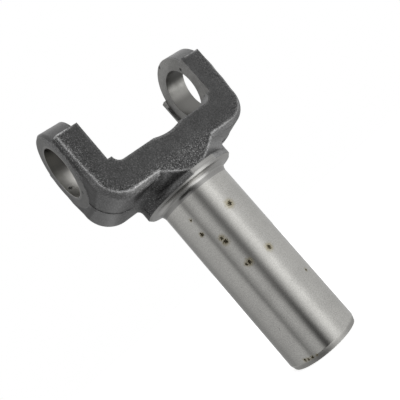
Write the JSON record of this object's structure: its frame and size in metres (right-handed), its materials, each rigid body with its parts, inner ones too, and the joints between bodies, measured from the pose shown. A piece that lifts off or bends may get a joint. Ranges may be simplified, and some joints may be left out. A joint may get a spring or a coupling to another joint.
{
  "type": "slip yoke",
  "caption": "Forged drive-shaft slip yoke: fork with bored ears, drafted hub with a turned rim and cove, and a smooth ground barrel splined inside.",
  "frame": {"origin": "centre of the universal joint's cross: on the cap bore's axis, halfway between the ears, where the barrel's axis crosses it", "axes": "+X along the cap bore, towards the ear that is on the right in the picture; +Z along the barrel's axis, up past the ear tips; -Y out of the fork's front land. The yoke stands on the end of its barrel"},
  "size_m": [0.09, 0.0518, 0.1601],
  "materials": {
    "forged_steel": "grit-blasted forged skin on the fork, fine-turned cove and ground satin barrel, light pitting",
    "plug_steel": "plain cold-formed strip steel, oiled"
  },
  "bodies": {
    "root": {"yoke": "forged_steel", "vent_plug": "plug_steel"}
  },
  "joints": []
}
